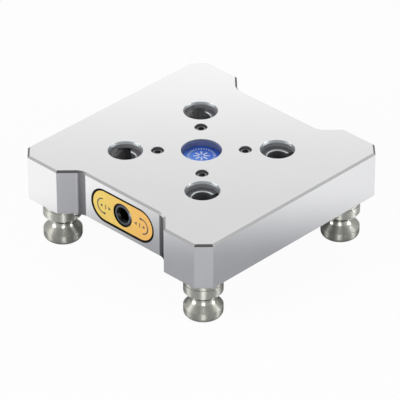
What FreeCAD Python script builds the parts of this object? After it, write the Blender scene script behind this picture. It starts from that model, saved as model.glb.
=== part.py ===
import FreeCAD, Part
import math
import os

# Vise riser: a low clamping plate. Four receivers on top hold the pull studs of a vise, and four
# pull studs below seat in the machine's own receivers. A drive spindle in the front recess moves a
# cam slide, whose slanted slots draw two clamping jaws inwards to open and push them out to clamp.
# Lengths are in millimetres. The pieces are drawn with height 0 at the plate's underside, x across
# the front, y from the front (drive side) to the back, and are lifted onto their studs when written.

Vec = FreeCAD.Vector
UP = Vec(0, 0, 1)
BACK = Vec(0, 1, 0)
RIGHT = Vec(1, 0, 0)

# Plate outline
body_side = 125.0
body_height = 25.0
corner_cut = 6.25
edge_bevel = 1.0
recess_width = 72.5
recess_depth = 8.5
recess_fillet = 7.0

# Receivers for the vise's studs
receiver_grid = 52.0
receiver_bore = 16.0
lead_width = 0.6
lead_depth = 1.2
top_skin = 3.4

# Chamber under the skin, and the step that the cover closes
chamber_side = 71.0
chamber_corner = 6.0
cover_overhang = 8.0
cover_corner = 10.0
cover_thickness = 4.0
cover_bevel = 0.6
well_bore = 16.4
well_floor = 3.0
drain_bore = 5.0

# Pull studs under the plate, from the flange down to the nose
stud_grid = 96.0
stud_diameter = 19.2
stud_neck = 12.0
flange_length = 5.15
flange_groove = 0.5
collar_length = 5.4
collar_bevel = 0.6
neck_length = 4.55
neck_fillet = 2.5
cone_length = 3.4
barrel_length = 5.5
nose_rounding = 2.6
spigot_diameter = 14.0
spigot_length = 2.0
stud_screw_shank = 8.0
stud_screw_head = 13.0
stud_screw_head_height = 5.0
stud_screw_bevel = 0.5
stud_screw_key = 5.0
stud_screw_key_depth = 2.5
stud_screw_length = 30.0
stud_counterbore_depth = 6.2

# Drive spindle, which lies along y
head_diameter = 11.8
head_recess = 0.4
head_bevel = 0.9
head_step = 0.9
journal_diameter = 8.0
journal_length = 8.6
journal_bevel = 0.5
journal_start = 4.0
thread_bevel = 1.0
key_size = 6.0
key_depth = 7.0
key_lead = 1.15
shoulder_setback = 0.5
bush_wall = 1.5
ring_groove_depth = 1.0
ring_groove_width = 1.4
ring_groove_setback = 1.0
lock_ring_wall = 2.0
lock_ring_width = 2.2
lock_ring_slot = 2.0
lock_ring_slot_depth = 1.0
lock_screw_diameter = 1.6
thrust_washer_width = 1.0

# Clamping jaws and the cam slide below them
jaw_travel = 8.0
notch_diameter = 10.0
notch_bevel = 0.5
clamp_cone_height = 3.0
jaw_reach = 2.6
tip_lead = 1.2
jaw_bar_gap = 0.5
jaw_pad_gap = 0.5
jaw_step_gap = 0.6
jaw_corner = 1.5
pin_diameter = 4.0
pin_inset = 3.5
pin_grip = 6.0
pin_spread = 9.0
slot_end_play = 0.2
wing_thickness = 4.5
wing_margin = 1.75
block_front = 14.0
block_length = 24.0
block_side_gap = 1.0
block_roof = 1.1
block_sole = 1.3
nut_wall = 1.25
trench_gap = 1.0

# Centre boss, cap and grease plugs in the top face
cap_bore = 19.0
cap_depth = 3.4
cap_thickness = 0.8
cap_bevel = 0.5
cap_edge = 0.2
boss_wall = 0.5
boss_end_gap = 2.0
boss_floor = 1.0
boss_corner = 3.0
plug_grid = 30.0
plug_diameter = 6.0
plug_depth = 1.0
plug_bevel = 0.6
plug_key = 3.0
plug_key_depth = 1.4
plug_rim = 0.25

# Name plate in the front recess
label_width = 42.4
label_height = 18.4
label_pocket = 1.2
label_rim = 1.25
label_backing = 0.4
label_thickness = 0.6
label_hole_gap = 0.2

# Fasteners and seal of the cover
cover_screw_shank = 3.0
cover_screw_head = 6.0
cover_screw_length = 12.0
cover_screw_spread = 28.0
cover_screw_key = 2.0
dowel_diameter = 3.0
dowel_length = 7.0
seal_width = 1.2
seal_depth = 1.0
seal_setback = 0.7

# Clearances: each is the gap left on one side
press_gap = 0.02
turning_gap = 0.05
face_gap = 0.1
slide_gap = 0.2
drill_room = 1.0
overrun = 1.0

# Places that follow from the sizes above
half_body = body_side / 2
recess_floor = half_body - recess_depth
label_floor = recess_floor - label_pocket
half_chamber = chamber_side / 2
chamber_top = body_height - top_skin
ledge_half = half_chamber + cover_overhang
receiver_at = receiver_grid / 2
stud_at = stud_grid / 2
plug_at = plug_grid / 2
screw_row = half_chamber + cover_overhang / 2
collar_end = flange_length + collar_length
neck_end = collar_end + neck_length
cone_end = neck_end + cone_length
stud_drop = cone_end + barrel_length
screw_seat = stud_drop - stud_counterbore_depth

cap_floor = body_height - cap_depth - cap_thickness
boss_bottom = cap_floor - boss_floor
boss_half_width = cap_bore / 2 + boss_wall
block_back = block_length - block_front
step_at = block_back + jaw_travel + jaw_step_gap
thread_radius = head_diameter / 2 - head_step
nut_radius = thread_radius + turning_gap + nut_wall
block_top = boss_bottom - slide_gap
spindle_height = block_top - block_roof - nut_radius
block_bottom = spindle_height - nut_radius - block_sole
island_height = spindle_height - face_gap

lock_ring_radius = thread_radius + lock_ring_wall
lock_ring_front = half_chamber - thrust_washer_width - face_gap
lock_ring_back = lock_ring_front - lock_ring_width
shoulder_at = ledge_half + shoulder_setback
groove_back = shoulder_at + ring_groove_setback
groove_front = groove_back + ring_groove_width
head_front = recess_floor - head_recess
journal_end = half_chamber + journal_length

jaw_bottom = island_height + slide_gap
jaw_top = chamber_top - face_gap
jaw_outer = receiver_at + jaw_reach
jaw_half_length = half_chamber - slide_gap
bar_inner = boss_half_width + jaw_bar_gap + jaw_travel
pad_inner = lock_ring_radius + jaw_pad_gap + jaw_travel
block_half_width = bar_inner - jaw_travel - block_side_gap
trench_half_width = thread_radius + trench_gap
pin_at = bar_inner + pin_inset
wing_top = island_height - face_gap
wing_bottom = wing_top - wing_thickness
pin_bottom = wing_bottom + slide_gap
wing_half_width = pin_at + pin_diameter / 2 + 2 * slide_gap + wing_margin
wing_length = pin_spread + jaw_travel + pin_diameter + 2 * wing_margin
wing_half_channel = (wing_length + jaw_travel) / 2 + slide_gap
wing_front = wing_half_channel - slide_gap


def box(x0, x1, y0, y1, z0, z1):
    return Part.makeBox(x1 - x0, y1 - y0, z1 - z0, Vec(x0, y0, z0))


def upright(x, y, radius, z0, z1):
    return Part.makeCylinder(radius, z1 - z0, Vec(x, y, z0), UP)


def along_y(radius, y0, y1, x=0.0, z=spindle_height):
    return Part.makeCylinder(radius, y1 - y0, Vec(x, y0, z), BACK)


def cone_up(x, y, radius0, radius1, z0, z1):
    return Part.makeCone(radius0, radius1, z1 - z0, Vec(x, y, z0), UP)


def fuse_all(shapes):
    return shapes[0].multiFuse(shapes[1:]).removeSplitter()


def cut_all(shape, tools):
    return shape.cut(Part.makeCompound(tools))


def rounded_block(half_x, half_y, corner, z0, z1):
    block = box(-half_x, half_x, -half_y, half_y, z0, z1)
    edges = [edge for edge in block.Edges if abs(edge.tangentAt(edge.FirstParameter).z) > 0.9]
    return block.makeFillet(corner, edges)


def level_edges(shape, z):
    found = []
    for edge in shape.Edges:
        limits = edge.BoundBox
        if abs(limits.ZMin - z) < 0.001 and abs(limits.ZMax - z) < 0.001:
            found.append(edge)
    return found


def turned(profile, x, y, z, axis):
    """Solid of revolution: profile holds (distance along the axis, radius) pairs."""
    points = [Vec(radius, 0, along) for along, radius in profile]
    points.append(points[0])
    solid = Part.Face(Part.makePolygon(points)).revolve(Vec(0, 0, 0), UP, 360)
    solid.Placement = FreeCAD.Placement(Vec(x, y, z), FreeCAD.Rotation(UP, axis))
    return solid


def hex_prism(across_flats, depth, centre, axis):
    radius = across_flats / math.sqrt(3)
    corners = []
    for step in range(7):
        turn = step * math.pi / 3
        corners.append(Vec(radius * math.cos(turn), radius * math.sin(turn), 0))
    prism = Part.Face(Part.makePolygon(corners)).extrude(Vec(0, 0, depth))
    prism.Placement = FreeCAD.Placement(centre, FreeCAD.Rotation(UP, axis))
    return prism


def stadium(width, height, y0, y1, hole_radius=0.0):
    """Flat plate with round ends, upright in the front recess, between two depths along y."""
    radius = height / 2
    reach = width / 2 - radius
    plate = box(-reach, reach, y0, y1, spindle_height - radius, spindle_height + radius)
    ends = [along_y(radius, y0, y1, x=side * reach) for side in (-1, 1)]
    plate = fuse_all([plate] + ends)
    if hole_radius > 0:
        plate = plate.cut(along_y(hole_radius, y0 - overrun, y1 + overrun))
    return plate


def corners_of(half):
    return [(sx * half, sy * half) for sx in (-1, 1) for sy in (-1, 1)]


def cover_screw_places():
    places = []
    for along in (-cover_screw_spread / 2, cover_screw_spread / 2):
        for side in (-screw_row, screw_row):
            places.append((along, side))
            places.append((side, along))
    return places


def dowel_places():
    return [(-screw_row, 0), (screw_row, 0)]


def plate_blank():
    half = half_body
    near = half - corner_cut
    mouth = recess_width / 2
    foot = mouth - recess_depth
    floor = recess_floor
    side = [(-near, -half), (-mouth, -half), (-foot, -floor), (foot, -floor), (mouth, -half), (near, -half)]
    outline = side + [(half, -near), (half, near)]
    outline += [(-x, -y) for x, y in side]
    outline += [(-half, near), (-half, -near)]
    points = [Vec(x, y, 0) for x, y in outline]
    points.append(points[0])
    blank = Part.Face(Part.makePolygon(points)).extrude(Vec(0, 0, body_height))
    inner = []
    for edge in blank.Edges:
        middle = edge.CenterOfMass
        upright_edge = abs(edge.tangentAt(edge.FirstParameter).z) > 0.9
        if upright_edge and abs(abs(middle.x) - foot) < 0.01 and abs(abs(middle.y) - floor) < 0.01:
            inner.append(edge)
    blank = blank.makeFillet(recess_fillet, inner)
    return blank.makeChamfer(edge_bevel, level_edges(blank, 0) + level_edges(blank, body_height))


def chamber_space():
    ledge = rounded_block(ledge_half, ledge_half, cover_corner, -overrun, cover_thickness)
    room = rounded_block(half_chamber, half_chamber, chamber_corner, 0, chamber_top)
    boss_half_length = step_at - boss_end_gap
    boss = rounded_block(boss_half_width, boss_half_length, boss_corner, boss_bottom, body_height)
    return [ledge, room.cut(boss)]


def receiver_space(x, y):
    radius = receiver_bore / 2
    bore = upright(x, y, radius, chamber_top - overrun, body_height + overrun)
    mouth = radius + lead_width * (1 + overrun / lead_depth)
    lead = cone_up(x, y, radius, mouth, body_height - lead_depth, body_height + overrun)
    return [bore, lead]


def spindle_space():
    front_radius = head_diameter / 2 + turning_gap + bush_wall + press_gap
    rear_radius = journal_diameter / 2 + turning_gap + bush_wall + press_gap
    front = along_y(front_radius, -half_body, -shoulder_at)
    passage = along_y(thread_radius + face_gap, -half_body, -half_chamber + overrun)
    rear = along_y(rear_radius, half_chamber - overrun, journal_end + drill_room)
    return [front, passage, rear]


def stud_seat_space(x, y):
    seat = upright(x, y, spigot_diameter / 2 + press_gap, -overrun, spigot_length + face_gap)
    radius = stud_screw_shank / 2 + press_gap
    thread_end = stud_screw_length - screw_seat + drill_room
    thread = upright(x, y, radius, 0, thread_end)
    point = cone_up(x, y, radius, 0, thread_end, thread_end + radius / 2)
    return [seat, thread, point]


def cap_space():
    radius = cap_bore / 2
    seat = upright(0, 0, radius, cap_floor, body_height + overrun)
    rim = cone_up(0, 0, radius, radius + cap_bevel + overrun, body_height - cap_bevel, body_height + overrun)
    return [seat, rim]


def plug_space(x, y):
    radius = plug_diameter / 2 + press_gap
    thread = upright(x, y, radius, chamber_top - overrun, body_height + overrun)
    rim = cone_up(x, y, radius, radius + plug_rim + overrun, body_height - plug_rim, body_height + overrun)
    return [thread, rim]


def riser_body():
    tools = chamber_space() + cap_space() + spindle_space()
    for x, y in corners_of(receiver_at):
        tools += receiver_space(x, y)
    for x, y in corners_of(stud_at):
        tools += stud_seat_space(x, y)
    for x, y in corners_of(plug_at):
        tools += plug_space(x, y)
    tools.append(stadium(label_width, label_height, -recess_floor - overrun, -label_floor))
    for x, y in cover_screw_places():
        tools.append(upright(x, y, cover_screw_shank / 2 + press_gap, 0, cover_screw_length + drill_room))
    for x, y in dowel_places():
        tools.append(upright(x, y, dowel_diameter / 2 + press_gap, 0, dowel_length + drill_room))
    return cut_all(plate_blank(), tools)


def cam_room():
    """Channels in the cover for the slide's wings, its nut block, the spindle's thread and lock ring."""
    roof = island_height + overrun
    wing_room = wing_half_width + slide_gap
    wings = box(-wing_room, wing_room, -wing_half_channel, wing_half_channel, wing_bottom - slide_gap, roof)
    block_room = block_half_width + 2 * slide_gap
    front = -block_front - 2 * slide_gap
    back = block_back + jaw_travel + 2 * slide_gap
    block = box(-block_room, block_room, front, back, block_bottom - slide_gap, roof)
    trench_floor = spindle_height - thread_radius - trench_gap / 2
    trench = box(-trench_half_width, trench_half_width, -half_body, half_body, trench_floor, roof)
    ring_room = lock_ring_radius + slide_gap
    pocket_back = -lock_ring_back + slide_gap
    pocket = box(-ring_room, ring_room, -half_chamber, pocket_back, spindle_height - ring_room, roof)
    return [wings, block, trench, pocket]


def base_cover():
    half_flange = ledge_half - face_gap
    half_island = half_chamber - face_gap
    flange = rounded_block(half_flange, half_flange, cover_corner - face_gap, 0, cover_thickness)
    flange = flange.makeChamfer(cover_bevel, level_edges(flange, 0))
    corner = chamber_corner - face_gap
    island = rounded_block(half_island, half_island, corner, cover_thickness, island_height)
    cover = fuse_all([flange, island])
    tools = cam_room()
    for x, y in corners_of(receiver_at):
        tools.append(upright(x, y, well_bore / 2, well_floor, island_height + overrun))
        tools.append(upright(x, y, drain_bore / 2, -overrun, well_floor + overrun))
    shank = cover_screw_shank / 2
    head = cover_screw_head / 2
    for x, y in cover_screw_places():
        tools.append(upright(x, y, shank + face_gap, -overrun, cover_thickness + overrun))
        tools.append(cone_up(x, y, head + face_gap + overrun, shank + face_gap, -overrun, head - shank))
    for x, y in dowel_places():
        tools.append(upright(x, y, dowel_diameter / 2 + press_gap, -overrun, cover_thickness + overrun))
    tools.append(seal_ring(face_gap / 2, cover_thickness + overrun))
    return cut_all(cover, tools)


def seal_ring(play, top):
    """Square-section ring round the chamber, or, with some play, the groove that holds it."""
    inner = half_chamber + seal_setback - play
    outer = half_chamber + seal_setback + seal_width + play
    inner_corner = chamber_corner + seal_setback
    bottom = cover_thickness - seal_depth
    rim = rounded_block(outer, outer, inner_corner + seal_width, bottom, top)
    return rim.cut(rounded_block(inner, inner, inner_corner, bottom - overrun, top + overrun))


def cover_screw(x, y):
    shank = cover_screw_shank / 2
    head = cover_screw_head / 2
    head_height = head - shank
    shaft = upright(x, y, shank, face_gap, cover_screw_length)
    cone = cone_up(x, y, head, shank, face_gap, face_gap + head_height)
    socket = hex_prism(cover_screw_key, head_height, Vec(x, y, 0), UP)
    return fuse_all([shaft, cone]).cut(socket)


def cover_dowel(x, y):
    return upright(x, y, dowel_diameter / 2, face_gap, face_gap + dowel_length)


def pull_stud(x, y):
    radius = stud_diameter / 2
    neck = stud_neck / 2
    spigot = spigot_diameter / 2
    hole = stud_screw_shank / 2 + slide_gap
    head_hole = stud_screw_head / 2 + slide_gap
    groove_top = flange_length - flange_groove / 2
    groove_bottom = flange_length + flange_groove / 2
    profile = [(-spigot_length, hole), (-spigot_length, spigot), (0, spigot), (0, radius)]
    profile += [(groove_top, radius), (groove_top, radius - flange_groove)]
    profile += [(groove_bottom, radius - flange_groove), (groove_bottom, radius)]
    profile += [(collar_end - collar_bevel, radius), (collar_end, radius - collar_bevel)]
    profile += [(collar_end, neck), (neck_end, neck), (cone_end, radius), (stud_drop, radius)]
    profile += [(stud_drop, head_hole), (screw_seat, head_hole), (screw_seat, hole)]
    stud = turned(profile, x, y, 0, Vec(0, 0, -1))
    stud = stud.makeFillet(neck_fillet, level_edges(stud, -neck_end))
    rim = [edge for edge in level_edges(stud, -stud_drop) if edge.Curve.Radius > head_hole + nose_rounding]
    return stud.makeFillet(nose_rounding, rim)


def stud_screw(x, y):
    bottom = -screw_seat - stud_screw_head_height
    head = upright(x, y, stud_screw_head / 2, bottom, -screw_seat)
    head = head.makeChamfer(stud_screw_bevel, level_edges(head, bottom))
    shank = upright(x, y, stud_screw_shank / 2, -screw_seat, stud_screw_length - screw_seat)
    socket = hex_prism(stud_screw_key, stud_screw_key_depth, Vec(x, y, bottom), UP)
    return fuse_all([head, shank]).cut(socket)


def drive_spindle():
    head = head_diameter / 2
    front = -head_front
    shoulder = -shoulder_at - face_gap
    journal = journal_diameter / 2
    groove_radius = head - ring_groove_depth
    thread_end = half_chamber - journal_start
    profile = [(front, 0), (front, head - head_bevel), (front + head_bevel, head), (-groove_front, head)]
    profile += [(-groove_front, groove_radius), (-groove_back, groove_radius), (-groove_back, head)]
    profile += [(shoulder, head), (shoulder, thread_radius)]
    profile += [(thread_end - thread_bevel, thread_radius), (thread_end, journal)]
    profile += [(journal_end - journal_bevel, journal), (journal_end, journal - journal_bevel)]
    profile.append((journal_end, 0))
    shaft = turned(profile, 0, 0, spindle_height, BACK)
    socket = hex_prism(key_size, key_depth + overrun, Vec(0, front - overrun, spindle_height), BACK)
    point = Part.makeCone(key_size / 2, 0, key_size / 3, Vec(0, front + key_depth, spindle_height), BACK)
    lead = Part.makeCone(key_size / 2 + key_lead, key_size / 2, key_lead, Vec(0, front, spindle_height), BACK)
    return cut_all(shaft, [socket, point, lead])


def sleeve(inner, outer, y0, y1):
    ring = along_y(outer, y0, y1)
    return ring.cut(along_y(inner, y0 - overrun, y1 + overrun))


def front_bush():
    inner = head_diameter / 2 + turning_gap
    return sleeve(inner, inner + bush_wall, -label_floor + face_gap, -shoulder_at)


def rear_bush():
    inner = journal_diameter / 2 + turning_gap
    return sleeve(inner, inner + bush_wall, half_chamber + face_gap, journal_end)


def spindle_o_ring():
    radius = ring_groove_depth / 2
    middle = -(groove_front + groove_back) / 2
    centre_radius = head_diameter / 2 - radius + turning_gap / 2
    return Part.makeTorus(centre_radius, radius, Vec(0, middle, spindle_height), BACK)


def thrust_washer():
    front = -half_chamber
    return sleeve(thread_radius + face_gap, lock_ring_radius, front, front + thrust_washer_width)


def spindle_lock_ring():
    front = -lock_ring_front
    back = -lock_ring_back
    ring = sleeve(thread_radius + press_gap, lock_ring_radius, front, back)
    half_slot = lock_ring_slot / 2
    slots = []
    for side in (-1, 1):
        near = lock_ring_radius - lock_ring_slot_depth
        x0, x1 = sorted((side * near, side * (lock_ring_radius + overrun)))
        bottom = spindle_height - half_slot
        slots.append(box(x0, x1, front - overrun, back + overrun, bottom, bottom + lock_ring_slot))
    middle = (front + back) / 2
    hole_top = spindle_height + lock_ring_radius + overrun
    hole = upright(0, middle, lock_screw_diameter / 2 + press_gap, spindle_height, hole_top)
    return cut_all(ring, slots + [hole])


def lock_ring_screw():
    middle = -(lock_ring_front + lock_ring_back) / 2
    bottom = spindle_height + thread_radius + press_gap
    top = spindle_height + lock_ring_radius - face_gap
    return upright(0, middle, lock_screw_diameter / 2, bottom, top)


def slot_between(start, end, width, z0, z1):
    """Straight slot with round ends, from one pin place to the other."""
    run = Vec(end[0] - start[0], end[1] - start[1], 0)
    bar = Part.makeBox(run.Length, width, z1 - z0, Vec(0, -width / 2, z0))
    bar.rotate(Vec(0, 0, 0), UP, math.degrees(math.atan2(run.y, run.x)))
    bar.translate(Vec(start[0], start[1], 0))
    ends = [upright(x, y, width / 2, z0, z1) for x, y in (start, end)]
    return fuse_all([bar] + ends)


def cam_slide():
    half = block_half_width
    low = wing_bottom - overrun
    high = wing_top + overrun
    block = box(-half, half, -block_front, block_back, block_bottom, block_top)
    block = block.makeChamfer(cover_bevel, level_edges(block, block_top) + level_edges(block, block_bottom))
    wing_back = wing_length - wing_front
    wings = box(-wing_half_width, wing_half_width, -wing_front, wing_back, wing_bottom, wing_top)
    wings = wings.cut(box(-trench_half_width, trench_half_width, -half_body, half_body, low, high))
    tools = [along_y(nut_radius + press_gap, -half_body, half_body)]
    slot_width = pin_diameter + 2 * turning_gap
    for side in (-1, 1):
        for y in (-pin_spread / 2, pin_spread / 2):
            start = (side * (pin_at + slot_end_play), y + slot_end_play)
            end = (side * (pin_at - jaw_travel - slot_end_play), y - jaw_travel - slot_end_play)
            tools.append(slot_between(start, end, slot_width, low, high))
    return cut_all(fuse_all([block, wings]), tools)


def drive_nut():
    return sleeve(thread_radius + turning_gap, nut_radius, -block_front, block_back)


def notch(y, radius0, radius1, z0, z1):
    """U-shaped space about a receiver's axis, open to the right, with its radius changing in height."""
    wires = []
    reach = jaw_outer + receiver_bore
    for radius, z in ((radius0, z0), (radius1, z1)):
        low = Vec(receiver_at, y - radius, z)
        high = Vec(receiver_at, y + radius, z)
        deep = Vec(receiver_at - radius, y, z)
        far_low = Vec(reach, y - radius, z)
        far_high = Vec(reach, y + radius, z)
        edges = [Part.Arc(high, deep, low).toShape(), Part.makeLine(low, far_low)]
        edges += [Part.makeLine(far_low, far_high), Part.makeLine(far_high, high)]
        wires.append(Part.Wire(edges))
    return Part.makeLoft(wires, True, True)


def tip_space(y):
    """Slanted lead-in at the two tips of a notch."""
    radius = notch_diameter / 2
    x0 = jaw_outer - tip_lead
    x1 = jaw_outer + overrun
    wide = radius + tip_lead + overrun
    low = jaw_bottom - overrun
    points = [Vec(x0, y - radius, low), Vec(x1, y - wide, low)]
    points += [Vec(x1, y + wide, low), Vec(x0, y + radius, low)]
    points.append(points[0])
    return Part.Face(Part.makePolygon(points)).extrude(Vec(0, 0, jaw_top - jaw_bottom + 2 * overrun))


def jaw_right():
    half = jaw_half_length
    bar = box(bar_inner, jaw_outer, -half, half, jaw_bottom, jaw_top)
    pads = []
    for side in (-1, 1):
        y0, y1 = sorted((side * step_at, side * half))
        pads.append(box(pad_inner, jaw_outer, y0, y1, jaw_bottom, jaw_top))
    jaw = fuse_all([bar] + pads)
    ends = []
    for edge in jaw.Edges:
        if abs(edge.tangentAt(edge.FirstParameter).z) > 0.9 and abs(abs(edge.CenterOfMass.y) - half) < 0.01:
            ends.append(edge)
    jaw = jaw.makeChamfer(jaw_corner, ends)
    radius = notch_diameter / 2
    tools = []
    for side in (-1, 1):
        y = side * receiver_at
        cone_top = jaw_bottom + clamp_cone_height
        tools.append(notch(y, radius, radius, jaw_bottom - overrun, jaw_top + overrun))
        tools.append(notch(y, radius + clamp_cone_height, radius, jaw_bottom, cone_top))
        tools.append(notch(y, radius, radius + notch_bevel, jaw_top - notch_bevel, jaw_top))
        tools.append(tip_space(y))
    for y in (-pin_spread / 2, pin_spread / 2):
        pin_radius = pin_diameter / 2 + press_gap
        tools.append(upright(pin_at, y, pin_radius, jaw_bottom - overrun, jaw_bottom + pin_grip))
    return cut_all(jaw, tools)


def jaw_pins_right():
    pins = []
    for y in (-pin_spread / 2, pin_spread / 2):
        pins.append(upright(pin_at, y, pin_diameter / 2, pin_bottom, jaw_bottom + pin_grip - face_gap))
    return Part.makeCompound(pins)


def mirrored(shape):
    return shape.mirror(Vec(0, 0, 0), RIGHT)


def centre_cap():
    cap = upright(0, 0, cap_bore / 2 - face_gap, cap_floor, cap_floor + cap_thickness)
    return cap.makeChamfer(cap_edge, level_edges(cap, cap_floor + cap_thickness))


def grease_plug(x, y):
    top = body_height - plug_depth
    plug = upright(x, y, plug_diameter / 2, chamber_top + slide_gap, top)
    plug = plug.makeChamfer(plug_bevel, level_edges(plug, top))
    return plug.cut(hex_prism(plug_key, plug_key_depth + overrun, Vec(x, y, top - plug_key_depth), UP))


def label_gasket():
    """Rubber tray whose rim stands round the name plate, level with its face."""
    hole = head_diameter / 2 + 2 * label_hole_gap
    seat = -label_floor - label_backing
    front = seat - label_thickness
    tray = stadium(label_width - 2 * face_gap, label_height - 2 * face_gap, front, -label_floor, hole)
    inset = 2 * (label_rim - face_gap)
    return tray.cut(stadium(label_width - inset, label_height - inset, front - overrun, seat))


def label_plate():
    hole = head_diameter / 2 + label_hole_gap
    back = -label_floor - label_backing
    inset = 2 * label_rim
    return stadium(label_width - inset, label_height - inset, back - label_thickness, back, hole)


def write(name, shape):
    lifted = shape.copy()
    lifted.translate(Vec(0, 0, stud_drop))
    lifted.exportStep(os.path.join("parts", name + ".step"))


def main():
    os.makedirs("parts", exist_ok=True)
    write("riser_body", riser_body())
    write("base_cover", base_cover())
    write("cover_screws", Part.makeCompound([cover_screw(x, y) for x, y in cover_screw_places()]))
    write("cover_dowels", Part.makeCompound([cover_dowel(x, y) for x, y in dowel_places()]))
    write("cover_seal", seal_ring(0, cover_thickness))
    for row, sy in (("front", -1), ("back", 1)):
        for column, sx in (("left", -1), ("right", 1)):
            write("pull_stud_" + row + "_" + column, pull_stud(sx * stud_at, sy * stud_at))
    write("stud_screws", Part.makeCompound([stud_screw(x, y) for x, y in corners_of(stud_at)]))
    write("drive_spindle", drive_spindle())
    write("front_bush", front_bush())
    write("rear_bush", rear_bush())
    write("spindle_o_ring", spindle_o_ring())
    write("thrust_washer", thrust_washer())
    write("spindle_lock_ring", spindle_lock_ring())
    write("lock_ring_screw", lock_ring_screw())
    write("cam_slide", cam_slide())
    write("drive_nut", drive_nut())
    right_jaw = jaw_right()
    write("jaw_right", right_jaw)
    write("jaw_left", mirrored(right_jaw))
    right_pins = jaw_pins_right()
    write("jaw_pins_right", right_pins)
    write("jaw_pins_left", mirrored(right_pins))
    write("centre_cap", centre_cap())
    write("grease_plugs", Part.makeCompound([grease_plug(x, y) for x, y in corners_of(plug_at)]))
    write("label_gasket", label_gasket())
    write("label_plate", label_plate())


main()
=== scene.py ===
"""Dresses the vise riser: finishes for its machined pieces, printed marks, studio and camera."""

import logging
import math
from dataclasses import dataclass
from enum import Enum

import bmesh
import bpy
from bmesh.types import BMesh, BMFace, BMVert
from bpy.types import Material, Node, NodeSocket, NodeTree, Object
from mathutils import Matrix, Quaternion, Vector


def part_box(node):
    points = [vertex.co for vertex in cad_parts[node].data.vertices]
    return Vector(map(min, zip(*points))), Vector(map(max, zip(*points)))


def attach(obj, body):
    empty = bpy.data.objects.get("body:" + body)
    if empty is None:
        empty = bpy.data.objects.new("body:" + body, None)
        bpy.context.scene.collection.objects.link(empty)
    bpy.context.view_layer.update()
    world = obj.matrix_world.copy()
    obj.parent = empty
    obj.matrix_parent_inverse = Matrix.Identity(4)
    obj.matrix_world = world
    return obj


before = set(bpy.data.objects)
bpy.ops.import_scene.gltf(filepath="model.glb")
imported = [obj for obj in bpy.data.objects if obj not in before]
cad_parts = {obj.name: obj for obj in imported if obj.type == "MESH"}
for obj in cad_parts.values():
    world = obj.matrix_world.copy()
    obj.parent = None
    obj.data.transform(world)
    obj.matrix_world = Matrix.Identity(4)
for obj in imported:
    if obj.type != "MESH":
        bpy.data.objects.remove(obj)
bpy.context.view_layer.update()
LOG = logging.getLogger("vise_riser")

MM = 0.001
MERGE_DISTANCE = 0.001 * MM

# Half the pitch of each square grid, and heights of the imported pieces.
RECEIVER_AT = 26 * MM
STUD_AT = 48 * MM
PLUG_AT = 15 * MM
PLATE_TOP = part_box("riser_body")[1].z
PLATE_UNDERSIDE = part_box("riser_body")[0].z
JAW_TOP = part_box("jaw_right")[1].z
SPINDLE_HEIGHT = (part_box("front_bush")[0].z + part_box("front_bush")[1].z) / 2

# Noise in the tool marks.
MARK_DETAIL = 3.0
CLOUD_SCALE = 45.0
CLOUD_DETAIL = 2.0
WOBBLE_SCALE = 300.0

# The studio's level directions, for someone who looks at the riser's near corner.
STUDIO_TURN = math.radians(44.4)
TO_RIGHT = (math.cos(STUDIO_TURN), math.sin(STUDIO_TURN), 0.0)
TO_FRONT = (math.sin(STUDIO_TURN), -math.cos(STUDIO_TURN), 0.0)
TO_BACK = (-math.sin(STUDIO_TURN), math.cos(STUDIO_TURN), 0.0)

Colour = tuple[float, float, float]
Point = tuple[float, float, float]
Source = NodeSocket | float | Colour

WHITE: Colour = (1.0, 1.0, 1.0)


class Grain(Enum):
    """Ways in which a tool leaves its fine marks, as stretches of the noise along x, y and z."""

    EVEN = (1.0, 1.0, 1.0)
    ACROSS = (0.06, 1.0, 1.0)


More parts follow.
